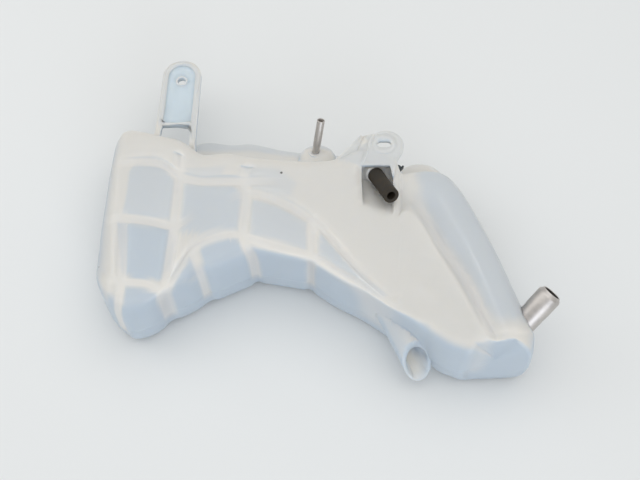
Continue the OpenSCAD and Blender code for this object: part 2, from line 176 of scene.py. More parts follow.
def noise(
    tree: bpy.types.NodeTree,
    place: bpy.types.NodeSocket,
    grain_mm: float,
    detail: float,
    roughness: float = 0.5,
    distortion: float = 0.0,
) -> bpy.types.NodeSocket:
    """Adds noise of a real size.

    Args:
        tree: The material's node tree.
        place: Coordinates that the noise is drawn in.
        grain_mm: Size of its clouds.
        detail: How many finer layers it has.
        roughness: How strong the finer layers are.
        distortion: How much it swirls.

    Returns:
        The noise, mostly between NOISE_LOW and NOISE_HIGH.
    """
    settings = {
        "Scale": 1 / (grain_mm * MM),
        "Detail": detail,
        "Roughness": roughness,
        "Distortion": distortion,
    }
    return add_node(tree, "TexNoise", settings, {"Vector": place}).outputs["Fac"]


def spread(
    tree: bpy.types.NodeTree, cloud: bpy.types.NodeSocket, low: float, high: float
) -> bpy.types.NodeSocket:
    """Spreads the usual range of a noise over a range of values.

    Args:
        tree: The material's node tree.
        cloud: The noise.
        low: Value at NOISE_LOW and below.
        high: Value at NOISE_HIGH and above.

    Returns:
        The spread value.
    """
    settings = {"From Min": NOISE_LOW, "From Max": NOISE_HIGH, "To Min": low, "To Max": high}
    return add_node(tree, "MapRange", settings, {"Value": cloud}).outputs["Result"]


def bumped(
    tree: bpy.types.NodeTree, height: bpy.types.NodeSocket, strength: float, depth_mm: float
) -> bpy.types.NodeSocket:
    """Turns a height into a slightly uneven surface.

    Args:
        tree: The material's node tree.
        height: The height.
        strength: Strength of the effect.
        depth_mm: Depth from the lowest to the highest point.

    Returns:
        The normal of the uneven surface.
    """
    settings = {"Strength": strength, "Distance": depth_mm * MM}
    return add_node(tree, "Bump", settings, {"Height": height}).outputs["Normal"]


def tinted(
    tree: bpy.types.NodeTree,
    share: bpy.types.NodeSocket,
    skin: bpy.types.NodeSocket,
    tone: str,
) -> bpy.types.NodeSocket:
    """Mixes a plain tone into a colour.

    Args:
        tree: The material's node tree.
        share: How much of the tone there is, from 0 to 1.
        skin: The colour.
        tone: The tone, as a hex colour.

    Returns:
        The mixed colour.
    """
    settings = {"data_type": "RGBA", 7: linear(tone)}
    return add_node(tree, "Mix", settings, {0: share, 6: skin}).outputs[2]


def calculated(
    tree: bpy.types.NodeTree,
    operation: str,
    first: bpy.types.NodeSocket,
    *others: bpy.types.NodeSocket | float,
    clamp: bool = False,
) -> bpy.types.NodeSocket:
    """Calculates with values of the shader.

    Args:
        tree: The material's node tree.
        operation: Name of the operation.
        first: The first value.
        *others: The further values, as sockets or as numbers.
        clamp: Whether the result is kept between 0 and 1.

    Returns:
        The result.
    """
    settings: dict[Any, Any] = {"operation": operation, "use_clamp": clamp}
    links = {0: first}
    for place, value in enumerate(others, 1):
        if isinstance(value, bpy.types.NodeSocket):
            links[place] = value
        else:
            settings[place] = value
    return add_node(tree, "Math", settings, links).outputs[0]


def new_material(
    name: str,
) -> tuple[bpy.types.Material, bpy.types.NodeTree, bpy.types.NodeSocket]:
    """Makes an empty node material.

    Args:
        name: Name of the finish.

    Returns:
        The material, its node tree and its object coordinates.
    """
    material = bpy.data.materials.new(name)
    material.use_nodes = True
    tree = material.node_tree
    tree.nodes.clear()
    return material, tree, add_node(tree, "TexCoord").outputs["Object"]


def surface(
    tree: bpy.types.NodeTree,
    settings: dict[str, Any],
    links: dict[str, bpy.types.NodeSocket],
) -> None:
    """Ends a material with its shader and its output.

    Args:
        tree: The material's node tree.
        settings: Constant values on the shader's sockets.
        links: Output sockets by the name of the shader's input.
    """
    shader = add_node(tree, "BsdfPrincipled", settings, links).outputs["BSDF"]
    add_node(tree, "OutputMaterial", None, {"Surface": shader})


# Finishes


@dataclass(frozen=True)
class MouldedPolyethylene:
    """Natural high-density polyethylene, blow-moulded.

    It gives the eye a milky, satin skin: light goes in and comes out again nearby, pinched and
    thick places look creamier, thin panels and walls carry painted bluish shade, some edges carry
    painted highlights, the recess under the bracket carries painted light, and the mould leaves a
    faint peel.
    """

    name: str = "natural_polyethylene_blow_moulded"
    wall_tone: str = "#D6D4CF"
    # Creamy tone of pinched ribs, also used for painted highlights and painted light
    pinched_tone: str = "#E1DED8"
    # Painted bluish shade on walls and thin panels
    painted_shade_tone: str = "#BAC5CF"
    # Painted bluish light on the tab's thin web, as if light shone through it
    web_painted_light_tone: str = "#C2CED6"
    speck_tone: str = "#4A4640"
    ior: float = 1.51
    specular: float = 0.45
    roughness: tuple[float, float] = (0.36, 0.5)
    # Red light travels furthest in the plastic and blue light least
    scatter_mm: float = 7.0
    scatter_share: float = 0.85
    scatter_colour: Point = (1.0, 0.92, 0.8)
    # Cloudy tone of the melt: size and strength
    mottle_mm: float = 45.0
    mottle_share: float = 0.16
    # Streaks: width, strength and how much they are drawn out along X
    streak_mm: float = 7.0
    streak_share: float = 0.07
    streak_stretch: float = 0.12
    peel_mm: float = 1.6
    # The tab's web: its middle height, half of its thickness, where it starts along the tab and
    # how far its faces have to point up or down
    web_middle_mm: float = 50.0
    web_half_mm: float = 1.5
    web_start_mm: float = 101.0
    web_flat: float = 0.9
    # Two small specks of dirt on the skin: place and radius, in millimetres
    specks: tuple[tuple[Point, float], ...] = (
        ((-30.6, 44.0, 66.0), 1.0),
        ((-170.4, -31.0, 50.0), 0.8),
    )
    # Their ragged edge: its grain, how far it wanders and how soft it is, in radii, and how much
    # of the skin's own tone a speck covers
    speck_edge_mm: float = 10 / 9
    speck_wander: float = 0.8
    speck_soft: float = 0.25
    speck_cover: float = 0.9

    def material(self) -> bpy.types.Material:
        """Builds the material.

        Returns:
            The finish as a node material.
        """
        material, tree, place = new_material(self.name)
        pinch = add_node(tree, "Attribute", {"attribute_name": Mask.PINCH.value}).outputs["Fac"]
        painted_shade = add_node(tree, "Attribute", {"attribute_name": Mask.PAINTED_SHADE.value}).outputs["Fac"]
        # The tab's thin web gets painted bluish light showing through it
        thin = self._web(tree, place)

        # Cloudy tone of the melt, and streaks along the way it was drawn
        mottle = noise(tree, place, self.mottle_mm, detail=3.0, roughness=0.55)
        stretch = (self.streak_stretch, 1.0, 1.0)
        drawn = add_node(tree, "Mapping", {"Scale": stretch}, {"Vector": place}).outputs["Vector"]
        streak = noise(tree, drawn, self.streak_mm, detail=2.0, distortion=0.4)
        cloud = spread(tree, mottle, -self.mottle_share, self.mottle_share)
        lines = spread(tree, streak, -self.streak_share, self.streak_share)
        # The creamy tone also paints highlights on edges and light into the recess under the
        # bracket
        tone = calculated(tree, "ADD", pinch, cloud)
        tone = calculated(tree, "ADD", tone, lines, clamp=True)
        skin = add_node(
            tree,
            "Mix",
            {"data_type": "RGBA", 6: linear(self.wall_tone), 7: linear(self.pinched_tone)},
            {0: tone},
        ).outputs[2]
        # Painted shade: a bluish tone on thin panels and on walls turned from the lamps
        skin = tinted(tree, painted_shade, skin, self.painted_shade_tone)
        # Painted light showing through the tab's thin web
        skin = tinted(tree, thin, skin, self.web_painted_light_tone)
        skin = self._specks(tree, place, skin)

        peel = noise(tree, place, self.peel_mm, detail=2.0)
        bump = bumped(tree, peel, strength=0.25, depth_mm=0.05)
        gloss = spread(tree, mottle, *self.roughness)
        surface(
            tree,
            {
                "IOR": self.ior,
                "Subsurface Weight": self.scatter_share,
                "Subsurface Scale": self.scatter_mm * MM,
                "Subsurface Radius": self.scatter_colour,
                "Specular IOR Level": self.specular,
            },
            {"Base Color": skin, "Roughness": gloss, "Normal": bump},
        )
        return material

    def _web(
        self, tree: bpy.types.NodeTree, place: bpy.types.NodeSocket
    ) -> bpy.types.NodeSocket:
        """Finds the flat sides of the tab's thin web.

        Args:
            tree: The material's node tree.
            place: Object coordinates.

        Returns:
            1 on the web and 0 elsewhere.
        """
        split = add_node(tree, "SeparateXYZ", None, {0: place}).outputs
        normal = add_node(tree, "NewGeometry").outputs["True Normal"]
        facing = add_node(tree, "SeparateXYZ", None, {0: normal}).outputs
        middle, half = self.web_middle_mm * MM, self.web_half_mm * MM
        level = calculated(tree, "COMPARE", split["Z"], middle, half)
        beyond = calculated(tree, "GREATER_THAN", split["Y"], self.web_start_mm * MM)
        upright = calculated(tree, "ABSOLUTE", facing["Z"])
        flat = calculated(tree, "GREATER_THAN", upright, self.web_flat)
        both = calculated(tree, "MULTIPLY", level, beyond)
        return calculated(tree, "MULTIPLY", both, flat)

    def _specks(
        self,
        tree: bpy.types.NodeTree,
        place: bpy.types.NodeSocket,
        skin: bpy.types.NodeSocket,
    ) -> bpy.types.NodeSocket:
        """Puts the specks of dirt on the skin.

        Args:
            tree: The material's node tree.
            place: Object coordinates.
            skin: Colour under the specks.

        Returns:
            The colour with the specks.
        """
        rough_edge = noise(tree, place, self.speck_edge_mm, detail=1.0)
        for centre, radius in self.specks:
            away = add_node(
                tree,
                "VectorMath",
                {"operation": "DISTANCE", 1: tuple(c * MM for c in centre)},
                {0: place},
            ).outputs["Value"]
            wander = radius * MM * self.speck_wander
            ragged = calculated(tree, "MULTIPLY_ADD", rough_edge, wander, -wander / 2)
            edge = calculated(tree, "ADD", away, ragged)
            dirt = add_node(
                tree,
                "MapRange",
                {
                    "From Min": radius * MM * (1 + self.speck_soft),
                    "From Max": radius * MM * (1 - self.speck_soft),
                    "To Min": 0.0,
                    "To Max": self.speck_cover,
                },
                {"Value": edge},
            ).outputs["Result"]
            skin = tinted(tree, dirt, skin, self.speck_tone)
        return skin


@dataclass(frozen=True)
class DrawnAluminium:
    """Aluminium tube, drawn and left bare.

    It gives the eye a pale grey, half-matt metal with fine lines along the tube and a few
    darker, oxidised clouds.
    """

    name: str = "aluminium_tube_drawn"
    bright: str = "#CDC8C3"
    dull: str = "#BDB9B6"
    roughness: tuple[float, float] = (0.38, 0.52)
    line_mm: float = 0.5
    cloud_mm: float = 9.0

    def material(self) -> bpy.types.Material:
        """Builds the material.

        Returns:
            The finish as a node material.
        """
        material, tree, place = new_material(self.name)
        cloud = noise(tree, place, self.cloud_mm, detail=4.0, roughness=0.6)
        tone = ramp(tree, cloud, (0.32, self.dull), (0.6, self.bright))
        # Real drawing lines are near 0.1 mm and are drawn at 0.5 mm here, so that they show
        line = noise(tree, place, self.line_mm, detail=1.0)
        rough = spread(tree, cloud, *self.roughness)
        bump = bumped(tree, line, strength=0.2, depth_mm=0.03)
        surface(
            tree, {"Metallic": 1.0}, {"Base Color": tone, "Roughness": rough, "Normal": bump}
        )
        return material


@dataclass(frozen=True)
class ExtrudedRubber:
    """Synthetic rubber hose, extruded and cured.

    It gives the eye a dull brown-black with a faint bloom of dust and a fine, cloth-like grain.
    """

    name: str = "synthetic_rubber_extruded"
    core: str = "#1E180D"
    bloom: str = "#3A301F"
    ior: float = 1.52
    roughness: tuple[float, float] = (0.62, 0.8)
    grain_mm: float = 0.7
    bloom_mm: float = 6.0

    def material(self) -> bpy.types.Material:
        """Builds the material.

        Returns:
            The finish as a node material.
        """
        material, tree, place = new_material(self.name)
        dust = noise(tree, place, self.bloom_mm, detail=5.0, roughness=0.65)
        tone = ramp(tree, dust, (0.4, self.core), (0.75, self.bloom))
        grain = noise(tree, place, self.grain_mm, detail=3.0)
        bump = bumped(tree, grain, strength=0.5, depth_mm=0.08)
        rough = spread(tree, dust, *self.roughness)
        surface(
            tree, {"IOR": self.ior}, {"Base Color": tone, "Roughness": rough, "Normal": bump}
        )
        return material


@dataclass(frozen=True)
class MouldedNylon:
    """Black nylon, injection-moulded.

    It gives the eye a cool blue-black with soft highlights on its rounded edges.
    """

    name: str = "black_nylon_injection_moulded"
    base: str = "#1C2A30"
    scuffed: str = "#2E3E45"
    ior: float = 1.53
    roughness: float = 0.42
    texture_mm: float = 0.8

    def material(self) -> bpy.types.Material:
        """Builds the material.

        Returns:
            The finish as a node material.
        """
        material, tree, place = new_material(self.name)
        spark = noise(tree, place, self.texture_mm, detail=3.0)
        tone = ramp(tree, spark, (0.45, self.base), (0.8, self.scuffed))
        bump = bumped(tree, spark, strength=0.3, depth_mm=0.04)
        surface(
            tree,
            {"IOR": self.ior, "Roughness": self.roughness},
            {"Base Color": tone, "Normal": bump},
        )
        return material


@dataclass(frozen=True)
class PaleFloor:
    """Matt painted board under the tank, which keeps its soft shadow."""

    name: str = "painted_board_matt"
    tone: str = "#E2E4E4"
    roughness: float = 0.85
    grain_mm: float = 3.0

    def material(self) -> bpy.types.Material:
        """Builds the material.

        Returns:
            The finish as a node material.
        """
        material, tree, place = new_material(self.name)
        grain = noise(tree, place, self.grain_mm, detail=2.0)
        bump = bumped(tree, grain, strength=0.1, depth_mm=0.05)
        surface(
            tree,
            {"Base Color": linear(self.tone), "Roughness": self.roughness},
            {"Normal": bump},
        )
        return material


# Modelling helpers


def deselect_all() -> None:
    """Leaves edit mode and deselects every object."""
    if bpy.context.object and bpy.context.object.mode != "OBJECT":
        bpy.ops.object.mode_set(mode="OBJECT")
    bpy.ops.object.select_all(action="DESELECT")


def pick(piece: bpy.types.Object) -> None:
    """Makes one piece the only selected and the active object.

    Args:
        piece: The mesh object.
    """
    deselect_all()
    piece.select_set(True)
    bpy.context.view_layer.objects.active = piece


@contextmanager
def edit_mode(piece: bpy.types.Object) -> Iterator[None]:
    """Opens a piece in edit mode with nothing selected, and closes it again.

    Args:
        piece: The mesh object to edit.

    Yields:
        Nothing: the operators act on the open mesh.
    """
    pick(piece)
    bpy.ops.object.mode_set(mode="EDIT")
    bpy.ops.mesh.select_mode(type="VERT")
    bpy.ops.mesh.select_all(action="DESELECT")
    yield
    bpy.ops.object.mode_set(mode="OBJECT")


def select_edges(piece: bpy.types.Object, wanted: Callable[[bmesh.types.BMEdge], bool]) -> int:
    """Selects edges of the open mesh in code.

    Args:
        piece: The mesh object in edit mode.
        wanted: Says whether an edge is selected.

    Returns:
        How many edges are selected.
    """
    bpy.ops.mesh.select_mode(type="EDGE")
    mesh = bmesh.from_edit_mesh(piece.data)
    chosen = [e for e in mesh.edges if wanted(e)]
    for edge in chosen:
        edge.select_set(True)
    mesh.select_flush_mode()
    bmesh.update_edit_mesh(piece.data)
    return len(chosen)


def apply_modifier(piece: bpy.types.Object, kind: str, **settings: Any) -> None:
    """Adds a modifier to a piece and applies it.

    Args:
        piece: The mesh object.
        kind: The modifier's type.
        **settings: The modifier's properties.
    """
    pick(piece)
    modifier = piece.modifiers.new(kind.lower(), kind)
    for name, value in settings.items():
        setattr(modifier, name, value)
    bpy.ops.object.modifier_apply(modifier=modifier.name)


def smooth(piece: bpy.types.Object, degrees: float) -> None:
    """Shades a piece smooth, with sharp edges kept above an angle.

    Args:
        piece: The mesh object.
        degrees: The angle.
    """
    pick(piece)
    bpy.ops.object.shade_smooth_by_angle(angle=math.radians(degrees))


def seat(
    piece: bpy.types.Object, material: bpy.types.Material, slot: Slot, *nodes: str
) -> None:
    """Dresses a finished piece and puts it in place of its solids.

    Args:
        piece: The finished mesh object.
        material: Its finish.
        slot: The record's material slot; not used.
        *nodes: The solids that the piece stands for.
    """
    piece.data.materials.clear()
    piece.data.materials.append(material)
    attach(piece, BODY)
    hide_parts(*nodes)


def copy_of(node: str, name: str) -> bpy.types.Object:
    """Copies a solid's mesh to a new piece and joins its loose triangles.

    Args:
        node: The solid's name.
        name: Name of the new piece.

    Returns:
        The new piece.
    """
    piece = bpy.data.objects.new(name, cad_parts[node].data.copy())
    bpy.context.scene.collection.objects.link(piece)
    with edit_mode(piece):
        bpy.ops.mesh.select_all(action="SELECT")
        bpy.ops.mesh.remove_doubles(threshold=WELD_MM * MM)
        bpy.ops.mesh.dissolve_degenerate(threshold=SLIVER_MM * MM)
    return piece


@dataclass(frozen=True)
class Axis:
    """A line in space that round pieces are turned about, from its start in millimetres."""

    start: Point
    towards: Point

    def at(self, along_mm: float, out_mm: float) -> Vector:
        """Finds a point beside the axis.

        Args:
            along_mm: Distance along the axis from its start.
            out_mm: Distance out from the axis.

        Returns:
            The point, in metres.
        """
        return (Vector(self.start) + self.unit * along_mm + self.side * out_mm) * MM

    @property
    def unit(self) -> Vector:
        """Direction of the axis, of length 1."""
        return Vector(self.towards).normalized()

    @property
    def side(self) -> Vector:
        """A direction square to the axis, of length 1."""
        return self.unit.orthogonal().normalized()


def turned(
    name: str, axis: Axis, profile: Sequence[tuple[float, float]], steps: int
) -> bpy.types.Object:
    """Turns a closed profile about an axis, as on a lathe.

    Args:
        name: Name of the piece.
        axis: The line that it is turned about.
        profile: Corners of the profile as distance along and out from the axis, in millimetres.
        steps: Number of steps round.

    Returns:
        The turned piece, closed and facing outwards.
    """
    deselect_all()
    first = axis.at(*profile[0])
    bpy.ops.mesh.primitive_plane_add(size=MM, location=first)
    piece = bpy.context.object
    piece.name = name
    bpy.ops.object.transform_apply(location=True, rotation=True, scale=True)
    with edit_mode(piece):
        bpy.ops.mesh.select_all(action="SELECT")
        bpy.ops.mesh.merge(type="CENTER")
        for before, after in zip(profile, [*profile[1:], profile[0]]):
            step = axis.at(*after) - axis.at(*before)
            bpy.ops.mesh.extrude_region_move(TRANSFORM_OT_translate={"value": step})
        bpy.ops.mesh.select_all(action="SELECT")
        bpy.ops.mesh.remove_doubles(threshold=TURNED_WELD_MM * MM)
        bpy.ops.mesh.select_all(action="SELECT")
        bpy.ops.mesh.spin(
            steps=steps,
            angle=2 * math.pi,
            center=Vector(axis.start) * MM,
            axis=axis.unit,
        )
        bpy.ops.mesh.select_all(action="SELECT")
        bpy.ops.mesh.remove_doubles(threshold=TURNED_WELD_MM * MM)
        bpy.ops.mesh.normals_make_consistent(inside=False)
    return piece


def vertex_values(mesh: bpy.types.Mesh, name: str) -> np.ndarray:
    """Reads the places or the normals of a mesh's vertices.

    Args:
        mesh: The mesh.
        name: "co" for places or "normal" for normals.

    Returns:
        X, Y and Z of each vertex.
    """
    values = np.empty(len(mesh.vertices) * 3)
    mesh.vertices.foreach_get(name, values)
    return values.reshape(-1, 3)


def eased(share: Values, full: Values = 1.0) -> Values:
    """Eases a share in and out.

    Args:
        share: The share, from 0 to 1.
        full: The value at a share of 1.

    Returns:
        0 at a share of 0 to the full value at 1.
    """
    return full * share * share * (3 - 2 * share)


def from_line(
    plan: np.ndarray, first: np.ndarray, second: np.ndarray
) -> tuple[np.ndarray, np.ndarray]:
    """Measures how far vertices are from a straight line, seen from above.

    Args:
        plan: Vertex places as X and Y in millimetres.
        first: Start of the line.
        second: End of the line.

    Returns:
        The distances, and the shares of the line at which its nearest points lie.
    """
    way = second - first
    share = ((plan - first) @ way / max(way @ way, SHORTEST)).clip(0, 1)
    return np.linalg.norm(plan - first - share[:, None] * way, axis=1), share


# Sub-assemblies


@dataclass(frozen=True)
class CreamLine:
    """Creamy line seen from above, smooth through its points: a pinched rib, or a painted
    highlight along an edge.

    Each point is X and Y in millimetres and the strength of the rib there. The rib fades out at
    half its width, over the soft distance to both sides of that. The steps are those of the
    smooth line from one point to the next.
    """

    points: tuple[Point, ...]
    half_width: float = 3.6
    soft: float = 1.2
    steps: int = 6

    def drawn(self) -> np.ndarray:
        """Draws the smooth line.

        Returns:
            Close points along the line, with the strength as the third value.
        """
        known = np.array((self.points[0], *self.points, self.points[-1]))
        made = [known[1]]
        for i in range(1, len(known) - 2):
            a, b, c, d = known[i - 1 : i + 3]
            for k in range(1, self.steps + 1):
                t = k / self.steps
                made.append(
                    0.5
                    * (
                        2 * b
                        + (c - a) * t
                        + (2 * a - 5 * b + 4 * c - d) * t**2
                        + (3 * b - a - 3 * c + d) * t**3
                    )
                )
        return np.array(made)

    def over(self, plan: np.ndarray) -> np.ndarray:
        """Finds how close each vertex is to the rib, seen from above.

        Args:
            plan: Vertex places as X and Y in millimetres.

        Returns:
            0 away from the rib to 1 times its strength on its flat bottom.
        """
        line = self.drawn()
        nearest = np.full(len(plan), np.inf)
        strength = np.zeros(len(plan))
        for first, second in zip(line[:-1], line[1:]):
            away, share = from_line(plan, first[:2], second[:2])
            closer = away < nearest
            nearest = np.where(closer, away, nearest)
            strength = np.where(closer, first[2] + share * (second[2] - first[2]), strength)
        fall = ((self.half_width + self.soft - nearest) / (2 * self.soft)).clip(0, 1)
        return eased(fall, strength)


@dataclass(frozen=True)
class Panel:
    """Outline of a thin panel seen from above that gets painted bluish shade, in millimetres.

    The tone is the share of the painted shade tone in it, which fades out over the soft distance
    to both sides of the outline.
    """

    corners: tuple[tuple[float, float], ...]
    tone: float = 1.0
    soft: float = 1.5

    def over(self, plan: np.ndarray) -> np.ndarray:
        """Finds which vertices lie in the panel, seen from above.

        Args:
            plan: Vertex places as X and Y in millimetres.

        Returns:
            0 outside to the panel's tone inside, soft at its edge.
        """
        corners = np.array(self.corners, float)
        nearest = np.full(len(plan), np.inf)
        inside = np.zeros(len(plan), bool)
        for first, second in zip(corners, np.roll(corners, -1, axis=0)):
            away, _ = from_line(plan, first, second)
            nearest = np.minimum(nearest, away)
            run, rise = second - first
            if rise != 0:
                crosses = (first[1] > plan[:, 1]) != (second[1] > plan[:, 1])
                reach = first[0] + (plan[:, 1] - first[1]) / rise * run
                inside ^= crosses & (plan[:, 0] < reach)
        signed = np.where(inside, nearest, -nearest)
        share = ((signed + self.soft) / (2 * self.soft)).clip(0, 1)
        return eased(share, self.tone)


# Outlines that get painted bluish shade
PANELS = (
    # Top left, with its cut corner
    Panel(
        (
            (-147, 53), (-151, 46), (-151, 24), (-153, 8), (-136, 5), (-116, 2), (-115, 19),
            (-115, 38), (-123, 49),
        ),
        0.55,
    ),
    # Bottom left
    Panel(
        (
            (-156, 1), (-135, -3), (-116, -6), (-110, -18), (-112, -40), (-119, -49),
            (-137, -48), (-148, -44), (-153, -20),
        ),
        0.9,
    ),
    # Beside the first rib
    Panel(
        ((-107, 34), (-68, 32), (-62, 26), (-63, -6), (-78, -6), (-92, -10), (-107, -8)),
        0.6,
        2.5,
    ),
    # Narrow one above it
    Panel(((-107, 48), (-76, 50), (-77, 41), (-104, 41)), 0.25),
    # Above the third, open towards the plain face
    Panel(((-59, 50), (-33, 48), (-19, 35), (-23, 22), (-50, 30), (-57, 34)), 0.3, 3.0),
    # Third
    Panel(((-53, 20), (-32, 14), (-11, -1), (-10, -24), (-30, -16), (-53, -10)), 0.5),
    # Strip along the near edge
    Panel(((0, -6), (14, -25), (32, -44), (50, -61), (40, -61), (18, -44), (-1, -29)), 0.55),
    # Lobe on the right
    Panel(
        (
            (76, 46), (89, 62), (103, 50), (118, 29), (131, 0), (143, -26), (153, -57),
            (154, -78), (131, -80), (123, -67), (115, -46), (103, -23), (93, -5), (82, 18),
        ),
        0.6,
        5.0,
    ),
    # Ledge at the far side
    Panel(
        (
            (-106, 84), (-106, 99), (-60, 99), (0, 90), (34, 86), (34, 76), (-5, 79), (-60, 85),
        ),
        0.45,
        2.5,
    ),
    # Tops of the three panels at the left of the near wall
    Panel(((-145, -53), (-120, -58), (-114, -70), (-145, -73)), 0.9, 2.0),
    Panel(((-101, -27), (-109, -38), (-113, -46), (-109, -58), (-90, -51), (-86, -45)), 0.9, 2.0),
    Panel(
        ((-92, -20), (-89, -15), (-78, -12), (-63, -12), (-57, -27), (-58, -37), (-84, -46)),
        0.9,
        2.0,
    ),
    # Rounded left end
    Panel(((-180, -40), (-180, 80), (-171, 90), (-166, 84), (-169, 0), (-166, -50)), 0.5, 3.0),
    # Tab, bracket and the thin web beside the bracket
    Panel(((-141, 99), (-137, 152), (-118, 170), (-99, 150), (-99, 96)), 0.35),
    Panel(
        (
            (14, 58), (33, 86), (43, 86), (50, 87), (61, 85), (70, 72), (68, 60), (59, 50),
            (58, 41), (36, 44), (29, 52), (16, 56),
        ),
        0.35,
    ),
)

# Creamy lines: pinched ribs, and as the last three, painted highlights along edges
CREAM_LINES = (
    # Along the near edge of the face
    CreamLine(
        (
            (-160, -44, 0.3), (-148, -50, 1), (-131, -52, 1), (-115, -55, 1), (-98, -24, 1),
            (-76, -12, 1), (-59, -12, 1), (-35, -20, 1), (-6, -29, 1), (14, -42, 1),
            (32, -54, 0.8), (51, -69, 0.5), (57, -73, 0.2), (63, -76, 0),
        )
    ),
    # Along the middle
    CreamLine(
        (
            (-164, 4, 0.2), (-152, 4, 1), (-131, 1, 1), (-112, -3, 1), (-94, 8, 0), (-75, 18, 0),
            (-57, 26, 0.6), (-34, 20, 1), (-6, 2, 1), (13, -20, 0.9), (30, -42, 0.7),
            (50, -63, 0.4), (58, -62, 0.2),
        )
    ),
    # Along the top, to where it dies out in the plain part of the face
    CreamLine(
        (
            (-164, 54, 0), (-153, 54, 0.6), (-127, 53, 1), (-111, 41, 1), (-94, 37, 1),
            (-76, 37, 1), (-60, 37, 1), (-32, 36, 0.2), (-5, 32, 0),
        )
    ),
    # Across the tank, from the near side
    CreamLine(((-152, -74, 1), (-148, -50, 1), (-152, 4, 0.5), (-152, 12, 0))),
    CreamLine(((-118, -62, 1), (-115, -55, 1), (-112, -3, 1), (-111, 41, 0.8), (-113, 62, 0.4))),
    CreamLine(((-88, -45, 1), (-98, -24, 0.6))),
    CreamLine(((-50, -28, 1), (-59, -12, 1), (-57, 26, 1), (-60, 37, 0.8), (-58, 50, 0.4))),
    CreamLine(((-8, -35, 1), (-6, -29, 1), (-6, 2, 1), (-6, 8, 0))),
    # Painted highlights in the creamy tone: along the foot of the lobe, along the top edge of the
    # end wall and down its near corner
    CreamLine(
        (
            (78, 18, 0.3), (87, -5, 0.8), (97, -23, 1), (110, -46, 1), (118, -67, 1),
            (124, -88, 1),
        ),
        4.0,
    ),
    CreamLine(((124, -88, 0.9), (141, -88, 0.9), (155, -87, 0.7)), 2.5),
    CreamLine(((123, -88, 0.6), (119, -97, 0.5), (114, -114, 0.3)), 5.5, 5.0),
)


@dataclass
class TankMoulding:
    """The blow-moulded tank with its tab, bracket, bosses and scoop socket."""

    finish: MouldedPolyethylene = field(default_factory=MouldedPolyethylene)
    node: str = "tank_body"
    # Pairs of triangles flatter and squarer than these become quads
    flat_degrees: float = 25.0
    square_degrees: float = 50.0
    # Edges sharper than this are creased before the mesh is rounded
    sharp_degrees: float = 50.0
    crease: float = 0.75
    smooth_degrees: float = 50.0
    # Height at which the ribs' tone starts and the run over which it fades in, in millimetres
    back_mm: float = 14.0
    fade_mm: float = 12.0
    # The walls below the face's edge get painted bluish shade, more at the near side than at the
    # far side. A normal that points up by more than lying is no wall's, and one that points to
    # the far side by more than rear_from is a far wall's
    lying: float = 0.8
    lying_fade: float = 0.5
    wall_top_mm: float = 65.0
    wall_fade_mm: float = 14.0
    wall_shade: float = 1.0
    rear_from: float = 0.3
    rear_shade: float = 0.5
    # What faces the near side by more than near_from gets painted shade at any height
    near_from: float = 0.25
    near_fade: float = 0.5
    # Panels tint only what points up by more than this, and the creamy lines cover this share of
    # the painted shade
    panel_up: float = 0.5
    rib_cover: float = 0.8
    # Low and high corner of the space under the bracket, given the creamy tone as painted light
    # that lifts its shade
    painted_light_recess: tuple[Point, Point] = ((34.0, 30.0, 20.0), (66.0, 84.0, 64.0))

    def build(self) -> None:
        """Rounds a copy of the solid and dresses it."""
        piece = copy_of(self.node, "tank_moulding")
        with edit_mode(piece):
            bpy.ops.mesh.select_all(action="SELECT")
            bpy.ops.mesh.tris_convert_to_quads(
                face_threshold=math.radians(self.flat_degrees),
                shape_threshold=math.radians(self.square_degrees),
            )
            bpy.ops.mesh.select_all(action="DESELECT")
            limit = math.radians(self.sharp_degrees)
            count = select_edges(
                piece, lambda e: len(e.link_faces) == 2 and e.calc_face_angle(0.0) > limit
            )
            bpy.ops.transform.edge_crease(value=self.crease)
        apply_modifier(piece, "SUBSURF", levels=1, render_levels=1)
        smooth(piece, self.smooth_degrees)
        self._paint_masks(piece)
        seat(piece, self.finish.material(), Slot.TANK, self.node)
        log.info("tank moulding: %d faces, %d sharp edges", len(piece.data.polygons), count)

    def _paint_masks(self, piece: bpy.types.Object) -> None:
        """Writes where the skin is pinched or carries painted highlights and light, and where it
        carries painted bluish shade, for the finish to read.

        Args:
            piece: The rounded moulding.
        """
        mesh = piece.data
        place = vertex_values(mesh, "co") / MM
        plan, height = place[:, :2], place[:, 2]
        _, rearward, upward = vertex_values(mesh, "normal").T
        pinch = np.zeros(len(plan))
        for rib in CREAM_LINES:
            pinch = np.maximum(pinch, rib.over(plan))
        pinch *= ((height - self.back_mm) / self.fade_mm).clip(0, 1)
        # Painted bluish shade on walls below the face's edge and on what faces the near side
        upright = ((self.lying - upward) / self.lying_fade).clip(0, 1)
        below = ((self.wall_top_mm - height) / self.wall_fade_mm).clip(0, 1)
        side = np.where(rearward < self.rear_from, self.wall_shade, self.rear_shade)
        near = ((-rearward - self.near_from) / self.near_fade).clip(0, 1) * self.wall_shade
        painted_shade = np.maximum(below * upright * side, near)
        low, high = np.array(self.painted_light_recess)
        under = ((place > low) & (place < high)).all(axis=1)
        # Painted light: the recess under the bracket gets the full creamy tone, lifting its shade
        pinch = np.where(under, 1.0, pinch)
        for panel in PANELS:
            painted_shade = np.maximum(painted_shade, panel.over(plan) * (upward > self.panel_up))
        painted_shade = painted_shade * (1 - self.rib_cover * pinch)
        for mask, values in ((Mask.PINCH, pinch), (Mask.PAINTED_SHADE, painted_shade)):
            layer = mesh.attributes.new(mask.value, "FLOAT", "POINT")
            layer.data.foreach_set("value", values.astype(np.float32))


@dataclass(frozen=True)
class Tube:
    """One drawn tube, with its lengths in millimetres along its axis.

    It starts inside the tank, its thinner neck ends near the skin, and a nosed tube is drawn in
    at its end. The steps are those round it.
    """

    name: str
    node: str
    axis: Axis
    diameter: float
    start: float
    neck: float
    end: float
    nosed: bool = False
    steps: int = 48


